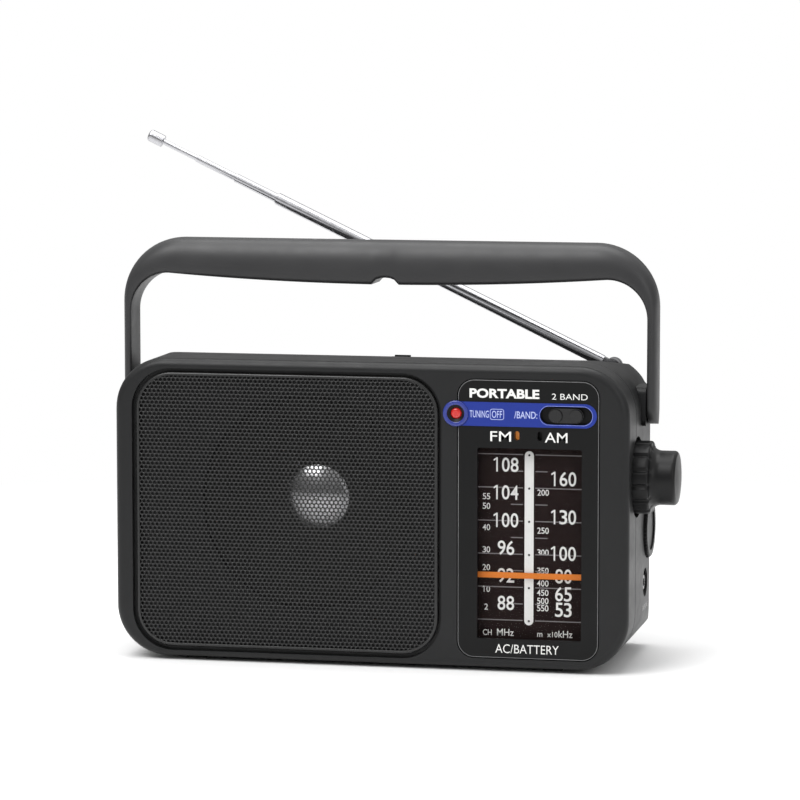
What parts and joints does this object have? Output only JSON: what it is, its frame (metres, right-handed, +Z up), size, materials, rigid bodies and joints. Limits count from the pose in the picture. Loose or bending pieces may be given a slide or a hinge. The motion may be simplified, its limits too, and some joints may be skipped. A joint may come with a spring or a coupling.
{
  "type": "portable radio receiver",
  "caption": "Portable two-band radio with a perforated speaker grille, upright dial, side tuning knob, swing-over carrying handle and a swivelling telescopic aerial.",
  "frame": {"origin": "middle of the outline at rest, seen from above, on the surface that the feet stand on", "axes": "+X to the right as the listener faces the dial, +Y from the front to the back, +Z up"},
  "size_m": [0.2476, 0.0854, 0.2249],
  "materials": {
    "cabinet": "fine-grained black moulded polystyrene",
    "rubber": "soft black rubber",
    "screw_steel": "dark zinc plated",
    "contact_metal": "bright tinned",
    "grille_metal": "satin black paint on perforated sheet",
    "basket_metal": "dark passivated steel",
    "cone_paper": "matt black pulp",
    "dust_cap_metal": "bright satin",
    "magnet": "dull sintered ferrite",
    "panel": "smooth satin black",
    "strip_blue": "smooth blue print",
    "ring_blue": "glossy dark blue",
    "lamp_red": "clear red resin",
    "lens_clear": "clear acrylic window",
    "scale_dark": "printed dark brown scale",
    "pointer_orange": "bright orange",
    "slider_dark": "glossy black",
    "switch_metal": "plain zinc plated",
    "knob": "satin black",
    "shaft_steel": "turned steel",
    "bush_brass": "turned brass",
    "drum_white": "natural white acetal",
    "capacitor_white": "clear-white moulded case",
    "cord_fibre": "braided nylon",
    "core_iron": "varnished laminations",
    "board_tan": "phenolic board",
    "component_dark": "component sleeves",
    "coil_copper": "enamelled copper wire",
    "handle": "satin dark grey",
    "rod_chrome": "bright plated brass"
  },
  "bodies": {
    "cabinet": {"front_cabinet": "cabinet", "rear_cabinet": "cabinet", "rubber_feet": "rubber", "case_screws": "screw_steel", "battery_contacts": "contact_metal", "speaker_grille": "grille_metal", "speaker_basket": "basket_metal", "speaker_cone": "cone_paper", "dust_cap": "dust_cap_metal", "speaker_magnet": "magnet", "inner_screws": "screw_steel", "dial_panel": "panel", "accent_strip": "strip_blue", "lamp_ring": "ring_blue", "tuning_lamp": "lamp_red", "dial_lens": "lens_clear", "dial_scale": "scale_dark", "pointer_rail": "contact_metal", "band_switch": "switch_metal", "shaft_bush": "bush_brass", "drive_brackets": "switch_metal", "tuning_capacitor": "capacitor_white", "idler_pins": "shaft_steel", "dial_cord": "cord_fibre", "volume_bracket": "switch_metal", "volume_pot": "switch_metal", "earphone_jack": "slider_dark", "mains_inlet": "slider_dark", "inlet_pins": "contact_metal", "power_transformer": "core_iron", "main_board": "board_tan", "board_components": "component_dark", "tuned_coils": "contact_metal", "ferrite_rod": "magnet", "ferrite_coils": "coil_copper", "ferrite_holders": "drum_white", "handle_pins": "shaft_steel"},
    "battery_door": {"battery_door": "cabinet"},
    "band_control": {"band_slider": "slider_dark", "band_shutter": "panel", "band_flags": "pointer_orange"},
    "pointer": {"tuning_pointer": "pointer_orange"},
    "tuning_control": {"tuning_knob": "knob", "tuning_shaft": "shaft_steel"},
    "drum": {"tuning_drum": "drum_white", "drum_axle": "bush_brass"},
    "idler_upper": {"upper_idler": "drum_white"},
    "idler_lower": {"lower_idler": "drum_white"},
    "volume_control": {"volume_wheel": "knob"},
    "carrying_handle": {"handle": "handle"},
    "rod_base": {"rod_swivel": "rod_chrome", "swivel_washer": "shaft_steel", "rod_pin": "rod_chrome"},
    "rod_arm": {"rod_knuckle": "rod_chrome", "rod_tube": "rod_chrome"},
    "rod_stage_1": {"rod_section_1": "rod_chrome"},
    "rod_stage_2": {"rod_section_2": "rod_chrome"},
    "rod_stage_3": {"rod_section_3": "rod_chrome"},
    "rod_stage_4": {"rod_section_4": "rod_chrome", "rod_tip": "rod_chrome"}
  },
  "joints": [
    {"name": "handle_swing", "type": "hinge", "parent": "cabinet", "child": "carrying_handle", "pos_m": [-0.006, 0.0007, 0.1105], "axis": [1, 0, 0], "range_deg": [-7, 95]},
    {"name": "tuning_turn", "type": "hinge", "parent": "cabinet", "child": "tuning_control", "pos_m": [0.1016, -0.0168, 0.08165], "axis": [1, 0, 0], "range_deg": [-367.05, 918.52]},
    {"name": "pointer_travel", "type": "slide", "parent": "cabinet", "child": "pointer", "axis": [0, 0, 1], "range_m": [-0.0206, 0.0514]},
    {"name": "drum_turn", "type": "hinge", "parent": "cabinet", "child": "drum", "pos_m": [0.09125, 0.0047, 0.057], "axis": [1, 0, 0], "range_deg": [-124.75, 49.97]},
    {"name": "upper_idler_turn", "type": "hinge", "parent": "cabinet", "child": "idler_upper", "pos_m": [0.09125, -0.0318, 0.101], "axis": [1, 0, 0], "range_deg": [-980.76, 392.52]},
    {"name": "lower_idler_turn", "type": "hinge", "parent": "cabinet", "child": "idler_lower", "pos_m": [0.09125, -0.0318, 0.0125], "axis": [1, 0, 0], "range_deg": [-980.76, 392.52]},
    {"name": "volume_turn", "type": "hinge", "parent": "cabinet", "child": "volume_control", "pos_m": [0.101, 0.0147, 0.056], "axis": [1, 0, 0], "range_deg": [-120, 160]},
    {"name": "band_slide", "type": "slide", "parent": "cabinet", "child": "band_control", "axis": [1, 0, 0], "range_m": [-0.0035, 0.0035]},
    {"name": "battery_door_slide", "type": "slide", "parent": "cabinet", "child": "battery_door", "axis": [0, 1, 0], "range_m": [0, 0.04]},
    {"name": "rod_swivel_turn", "type": "hinge", "parent": "cabinet", "child": "rod_base", "pos_m": [0.088, 0.0257, 0.1205], "axis": [0, 0, -1], "range_deg": [0, 180]},
    {"name": "rod_tilt", "type": "hinge", "parent": "rod_base", "child": "rod_arm", "pos_m": [0.088, 0.0257, 0.1242], "axis": [0, 1, 0], "range_deg": [-25.4, 64.6]},
    {"name": "rod_slide_1", "type": "slide", "parent": "rod_arm", "child": "rod_stage_1", "axis": [-0.9033, 0, 0.4289], "range_m": [0, 0.12]},
    {"name": "rod_slide_2", "type": "slide", "parent": "rod_stage_1", "child": "rod_stage_2", "axis": [-0.9033, 0, 0.4289], "range_m": [-0.0195, 0.105]},
    {"name": "rod_slide_3", "type": "slide", "parent": "rod_stage_2", "child": "rod_stage_3", "axis": [-0.9033, 0, 0.4289], "range_m": [-0.019, 0.105]},
    {"name": "rod_slide_4", "type": "slide", "parent": "rod_stage_3", "child": "rod_stage_4", "axis": [-0.9033, 0, 0.4289], "range_m": [-0.0165, 0.1]}
  ],
  "couplings": [
    {"joint": "pointer_travel", "follows": "tuning_turn", "m_per_rad": 0.0032},
    {"joint": "drum_turn", "follows": "tuning_turn", "ratio": -0.13559},
    {"joint": "upper_idler_turn", "follows": "tuning_turn", "ratio": -1.0667},
    {"joint": "lower_idler_turn", "follows": "tuning_turn", "ratio": -1.0667}
  ]
}
